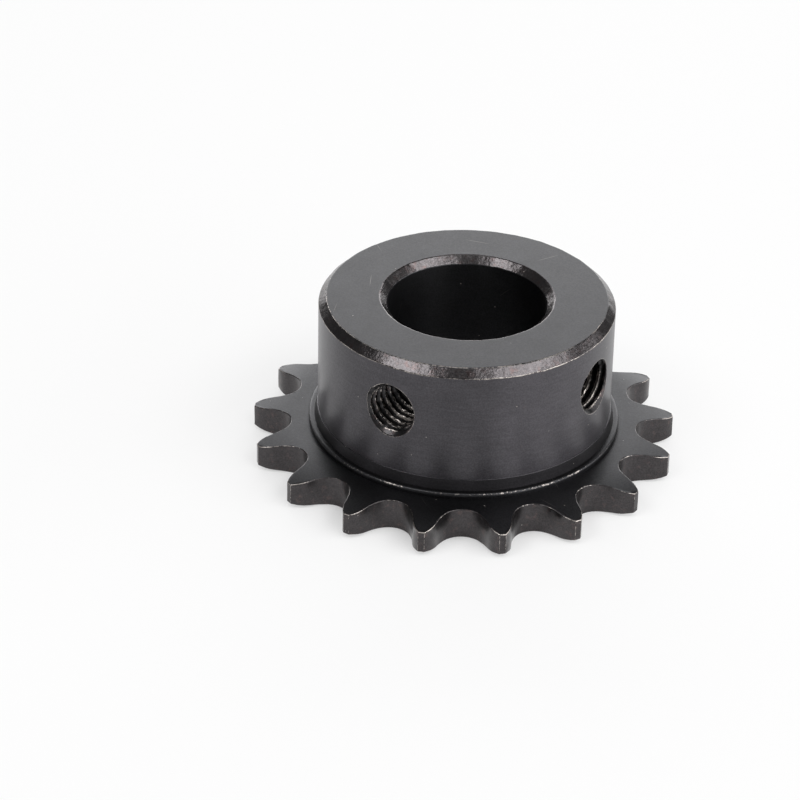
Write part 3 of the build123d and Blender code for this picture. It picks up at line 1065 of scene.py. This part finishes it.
def black_oxide(
    surface, colours, tone, roughness, across_mm=0.2, along_mm=3.0, streaks=0.1, chatter=0.002,
    rubbed=0.6, thin=0.0, spread=0.0, relief=0.0, film=0.0, scratches=0.0,
):
    """A black oxide finish on steel. The tool's streaks are so wide across and so long along the way round
    the axis, vary the tone by their share and stand out by their relief. The chatter is the uneven
    cutting. The rubbed share of the edges shows steel, the oxide is thin and brown over the thin share,
    the spread draws reflections out across the way round, the film is a clear oil film's share, and the
    scratches are the share of spots that have one. Relief and chatter are in millimetres."""
    material = bpy.data.materials.new("Black oxide on " + surface)
    tree = empty_tree(material)
    place, distance, height, outward_x, outward_y = round_the_axis(tree)

    # Z and W run round a circle, so the streaks meet themselves on their way round the axis.
    circle = TYPICAL_RADIUS_MM / along_mm
    finely = 1 / (across_mm * MM)
    across = add(tree, "ShaderNodeMath", {0: distance, 1: finely}, operation="MULTIPLY")[0]
    up = add(tree, "ShaderNodeMath", {0: height, 1: finely}, operation="MULTIPLY")[0]
    circle_x = add(tree, "ShaderNodeMath", {0: outward_x, 1: circle}, operation="MULTIPLY")[0]
    circle_y = add(tree, "ShaderNodeMath", {0: outward_y, 1: circle}, operation="MULTIPLY")[0]
    unrolled = add(tree, "ShaderNodeCombineXYZ", {"X": across, "Y": up, "Z": circle_x})[0]
    lines = add(
        tree, "ShaderNodeTexNoise", {"Vector": unrolled, "W": circle_y, "Scale": 1.0, "Detail": 3.0},
        noise_dimensions="4D",
    )[0]
    shade = add(
        tree, "ShaderNodeMapRange", {"Value": lines, 1: 0.3, 2: 0.7, 3: 1 - streaks, 4: 1 + streaks}
    )[0]
    # Grain of the etched surface: really a few hundredths of a millimetre, drawn coarser to show.
    grain = add(tree, "ShaderNodeTexNoise", {"Vector": place, "Scale": 1 / (0.13 * MM), "Detail": 1.0})[0]
    grain = add(tree, "ShaderNodeMapRange", {"Value": grain, 1: 0.3, 2: 0.7, 3: 0.82, 4: 1.18})[0]
    shade = add(tree, "ShaderNodeMath", {0: shade, 1: grain}, operation="MULTIPLY")[0]
    # Clouds a few millimetres across, where the bath has coloured the steel unevenly.
    clouds = add(tree, "ShaderNodeTexNoise", {"Vector": place, "Scale": 1 / (2.5 * MM), "Detail": 3.0})[0]
    clouds = add(tree, "ShaderNodeMapRange", {"Value": clouds, 1: 0.3, 2: 0.7, 3: 0.92, 4: 1.08})[0]
    shade = add(tree, "ShaderNodeMath", {0: shade, 1: clouds}, operation="MULTIPLY")[0]

    # Where the oxide is thin, in patches of a few tenths of a millimetre.
    thinned = add(
        tree, "ShaderNodeTexNoise",
        {"Vector": place, "Scale": 1 / (0.6 * MM), "Detail": 4.0, "Roughness": 0.65},
    )[0]
    border = 0.7 - 0.5 * thin
    thinned = add(tree, "ShaderNodeMapRange", {"Value": thinned, 1: border, 2: border + PATCH_BORDER})[0]
    colour = add(
        tree, "ShaderNodeMix", {"Factor": thinned, 6: tone, 7: colours.brown}, data_type="RGBA"
    )[2]
    colour = add(tree, "ShaderNodeVectorMath", {0: colour, "Scale": shade}, operation="SCALE")[0]

    # Bare steel where handling has rubbed the edges: long stretches with ragged borders.
    # The attribute also carries a painted highlight: more bare steel on the hub's camera side and on the
    # lower crests of the tapped holes.
    edge = add(tree, "ShaderNodeAttribute", attribute_name=WEAR_AND_HIGHLIGHT)["Fac"]
    stretch = add(tree, "ShaderNodeTexNoise", {"Vector": place, "Scale": 1 / (3.0 * MM), "Detail": 2.0})[0]
    ragged = add(tree, "ShaderNodeTexNoise", {"Vector": place, "Scale": 1 / (0.2 * MM), "Detail": 2.0})[0]
    rub = add(tree, "ShaderNodeMath", {0: stretch, 1: ragged}, operation="ADD")[0]
    rub = add(tree, "ShaderNodeMath", {0: rub, 1: edge}, operation="MULTIPLY")[0]
    border = 1.3 - 0.5 * rubbed
    bare = add(tree, "ShaderNodeMapRange", {"Value": rub, 1: border, 2: border + PATCH_BORDER})[0]
    scratch = hairlines(tree, place, scratches)
    bare = add(tree, "ShaderNodeMath", {0: bare, 1: scratch}, operation="MAXIMUM")[0]
    colour = add(
        tree, "ShaderNodeMix", {"Factor": bare, 6: colour, 7: colours.steel}, data_type="RGBA"
    )[2]

    speck = specks(tree, place)
    colour = add(
        tree, "ShaderNodeMix", {"Factor": speck, 6: colour, 7: colours.dust}, data_type="RGBA"
    )[2]
    metallic = add(tree, "ShaderNodeMath", {0: 1.0, 1: speck}, operation="SUBTRACT")[0]

    uneven = add(tree, "ShaderNodeTexNoise", {"Vector": place, "Scale": 1 / (0.2 * MM), "Detail": 2.0})[0]
    uneven = add(tree, "ShaderNodeMath", {0: uneven, 1: chatter * MM}, operation="MULTIPLY")[0]
    rise = add(
        tree, "ShaderNodeMath", {0: lines, 1: relief * MM, 2: uneven}, operation="MULTIPLY_ADD"
    )[0]
    bumps = add(tree, "ShaderNodeBump", {"Height": rise, "Strength": 1.0, "Distance": 1.0})[0]
    around = add(tree, "ShaderNodeTangent", direction_type="RADIAL", axis="Z")[0]
    shader = add(
        tree, "ShaderNodeBsdfPrincipled",
        {
            "Base Color": colour, "Metallic": metallic, "Roughness": roughness,
            "Anisotropic": spread, "Anisotropic Rotation": QUARTER_TURN, "Tangent": around,
            "Normal": bumps, "Coat Weight": film, "Coat Roughness": OIL_ROUGHNESS, "Coat IOR": OIL_IOR,
            "Coat Normal": bumps,
        },
    )[0]
    add(tree, "ShaderNodeOutputMaterial", {"Surface": shader})
    return material


def black_finishes(colours):
    """The sprocket's finishes, in the order of its material slots."""
    return [
        # Faced on a lathe: an even, matte dark grey.
        black_oxide(
            "faced steel", colours, colours.faced, roughness=0.38, streaks=0.03, chatter=0.001,
            scratches=0.35,
        ),
        # Lathe-turned, under a little oil: satin, with fine rings that draw reflections out along the axis.
        black_oxide(
            "turned steel", colours, colours.turned, roughness=0.42, along_mm=2.0, thin=0.1, spread=0.8,
            film=0.4, scratches=0.02,
        ),
        # Hobbed tooth flanks, under a little oil: satin and a little browner.
        black_oxide(
            "hobbed steel", colours, colours.hobbed, roughness=0.3, across_mm=0.3, along_mm=0.5,
            chatter=0.004, thin=0.3, spread=0.3, film=0.4, scratches=0.3,
        ),
        # Chamfers cut at a quick feed: a little torn, so blotchy, and brown where the oxide is thin.
        black_oxide(
            "chamfered steel", colours, colours.chamfered, roughness=0.24, across_mm=1.0, along_mm=0.3,
            streaks=0.12, chatter=0.018, thin=0.35, spread=0.1, relief=0.003,
        ),
        # Tapped threads: rough flanks with rubbed, torn crests.
        black_oxide(
            "tapped steel", colours, colours.tapped, roughness=0.3, across_mm=0.3, along_mm=0.3,
            chatter=0.008, rubbed=0.5, thin=0.35,
        ),
        # The reamed bore, as black as the faces, with fine marks that run round it.
        black_oxide(
            "reamed steel", colours, colours.faced, roughness=0.42, streaks=0.06, spread=0.4,
            scratches=0.2,
        ),
        # The hub's foot, painted darker than the wall above it: painted shade in the corner between the hub
        # wall and the shoulder.
        black_oxide("the hub's foot", colours, colours.foot, roughness=0.38),
    ]


# ---- Stage ----

def seen(tree):
    """A socket that is 1 for what is seen straight, in metal or through glass, and 0 for lighting."""
    path = add(tree, "ShaderNodeLightPath")
    shown = add(
        tree, "ShaderNodeMath", {0: path["Is Camera Ray"], 1: path["Is Glossy Ray"]}, operation="MAXIMUM"
    )[0]
    return add(
        tree, "ShaderNodeMath", {0: shown, 1: path["Is Transmission Ray"]}, operation="MAXIMUM"
    )[0]


def paper(stage):
    """Matt white paper: shows plain white away from the sprocket, and keeps its soft shadow."""
    material = bpy.data.materials.new("Matt white paper")
    tree = empty_tree(material)
    place = add(tree, "ShaderNodeTexCoord")["Object"]
    far = add(tree, "ShaderNodeVectorMath", {0: place}, operation="LENGTH")["Value"]
    clear = add(
        tree, "ShaderNodeMapRange",
        {"Value": far, 1: CLEAR_FROM_MM * MM, 2: CLEAR_AT_MM * MM, 4: stage.floor_glow},
        interpolation_type="SMOOTHSTEP",
    )[0]
    shown = seen(tree)
    share = add(tree, "ShaderNodeMath", {0: shown, 1: clear}, operation="MULTIPLY")[0]
    glow = add(tree, "ShaderNodeEmission", {"Color": stage.floor, "Strength": 1.0})[0]
    matt = add(tree, "ShaderNodeBsdfDiffuse", {"Color": stage.floor})[0]
    above = add(tree, "ShaderNodeMixShader", {0: share, 1: matt, 2: glow})[0]
    # Seen from below, the paper is clear, so that it doesn't hide the sprocket.
    below = add(tree, "ShaderNodeBsdfTransparent")[0]
    under = add(tree, "ShaderNodeNewGeometry")["Backfacing"]
    under = add(tree, "ShaderNodeMath", {0: under, 1: shown}, operation="MULTIPLY")[0]
    both = add(tree, "ShaderNodeMixShader", {0: under, 1: above, 2: below})[0]
    add(tree, "ShaderNodeOutputMaterial", {"Surface": both})
    return material


def softbox(name, azimuth, elevation, width, height, watts):
    """A soft oblong lamp that faces the sprocket."""
    lamp = bpy.data.lights.new(name, "AREA")
    lamp.shape = "RECTANGLE"
    lamp.size = width
    lamp.size_y = height
    lamp.energy = watts
    holder = new_object(name, lamp)
    away = facing(azimuth, elevation)
    holder.location = away * LAMP_DISTANCE
    holder.rotation_mode = "QUATERNION"
    holder.rotation_quaternion = away.to_track_quat("Z", "Y")
    holder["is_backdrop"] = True


def pale_surround(stage):
    """A plain pale world that lights the sprocket evenly from all round."""
    world = bpy.data.worlds.new("Pale surround")
    bpy.context.scene.world = world
    tree = empty_tree(world)
    light = add(tree, "ShaderNodeBackground", {"Strength": stage.surround})[0]
    add(tree, "ShaderNodeOutputWorld", {"Surface": light})


def stage_camera(stage):
    """The camera, aimed from its azimuth, elevation, distance and roll."""
    lens = bpy.data.cameras.new("camera")
    lens.lens = stage.camera_lens
    lens.sensor_width = 36
    lens.clip_start = 0.01
    lens.clip_end = 20
    camera = new_object("camera", lens)
    back = facing(stage.camera_azimuth, stage.camera_elevation)
    camera.location = Vector(stage.camera_aim) + back * stage.camera_distance
    camera.rotation_mode = "QUATERNION"
    roll = Quaternion((0, 0, 1), stage.camera_roll)
    camera.rotation_quaternion = back.to_track_quat("Z", "Y") @ roll
    bpy.context.scene.camera = camera


# ---- Operators and panel ----

class SPROCKET_OT_build(bpy.types.Operator):
    """Builds the sprocket with its finishes, in place of its CAD model"""

    bl_idname = "sprocket.build"
    bl_label = "Build sprocket"

    def execute(self, context):
        scene = context.scene
        finishes = black_finishes(scene.sprocket_finish)
        data = sprocket_mesh(scene.sprocket_teeth, scene.sprocket_hub, scene.sprocket_holes, finishes)
        sprocket = new_object("sprocket_dressed", data)
        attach(sprocket, "root")
        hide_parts(NODE)
        return {"FINISHED"}


class SPROCKET_OT_stage(bpy.types.Operator):
    """Lays the floor, sets the lamps round the sprocket and places the camera"""

    bl_idname = "sprocket.stage"
    bl_label = "Set the stage"

    def execute(self, context):
        stage = context.scene.sprocket_stage
        bpy.ops.mesh.primitive_plane_add(size=FLOOR_SIZE)
        floor = context.object
        floor.name = "floor"
        floor.data.materials.append(paper(stage))
        floor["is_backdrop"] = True
        pale_surround(stage)
        view = stage.camera_azimuth
        low, high, overhead = radians(17), radians(51), radians(88)
        # Each lamp's side and height as seen from the sprocket, then its width and height in metres.
        softbox("top softbox", view, overhead, 0.6, 0.6, stage.top_light)
        softbox("back softbox", view + radians(180), low, 1.05, 0.46, stage.back_light)
        softbox("right softbox", view + radians(72), low, 1.5, 0.46, stage.right_light)
        softbox("right front softbox", view + radians(54), high, 0.8, 0.25, stage.front_light)
        softbox("left front softbox", view - radians(58), high, 0.38, 0.25, stage.fill_light)
        stage_camera(stage)
        context.scene.view_settings.view_transform = "Standard"
        return {"FINISHED"}


class SPROCKET_PT_panel(bpy.types.Panel):
    """Sizes, colours and stage of the chain sprocket"""

    bl_idname = "SPROCKET_PT_panel"
    bl_label = "Chain sprocket"
    bl_space_type = "VIEW_3D"
    bl_region_type = "UI"
    bl_category = "Sprocket"

    def draw(self, context):
        for group, (_, title) in SETTINGS.items():
            column = self.layout.column(heading=title)
            column.label(text=title)
            settings = getattr(context.scene, group)
            for name in settings.__annotations__:
                column.prop(settings, name)
        self.layout.operator(SPROCKET_OT_build.bl_idname)
        self.layout.operator(SPROCKET_OT_stage.bl_idname)


SETTINGS = {
    "sprocket_teeth": (ToothSizes, "Teeth"),
    "sprocket_hub": (HubSizes, "Hub"),
    "sprocket_holes": (TappedHoleSizes, "Tapped holes"),
    "sprocket_finish": (FinishColours, "Finish"),
    "sprocket_stage": (StageSettings, "Stage"),
}
TOOLS = (SPROCKET_OT_build, SPROCKET_OT_stage, SPROCKET_PT_panel)


def register():
    for group, (kind, _) in SETTINGS.items():
        bpy.utils.register_class(kind)
        setattr(bpy.types.Scene, group, bpy.props.PointerProperty(type=kind))
    for tool in TOOLS:
        bpy.utils.register_class(tool)


def unregister():
    for tool in reversed(TOOLS):
        bpy.utils.unregister_class(tool)
    for group, (kind, _) in reversed(SETTINGS.items()):
        delattr(bpy.types.Scene, group)
        bpy.utils.unregister_class(kind)


def main():
    register()
    bpy.ops.sprocket.build()
    bpy.ops.sprocket.stage()
    boxes = {"cad": CAD_BOX, "visual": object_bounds()}
    {name: [list(corner) for corner in box] for name, box in boxes.items()}


if __name__ == "__main__":
    main()
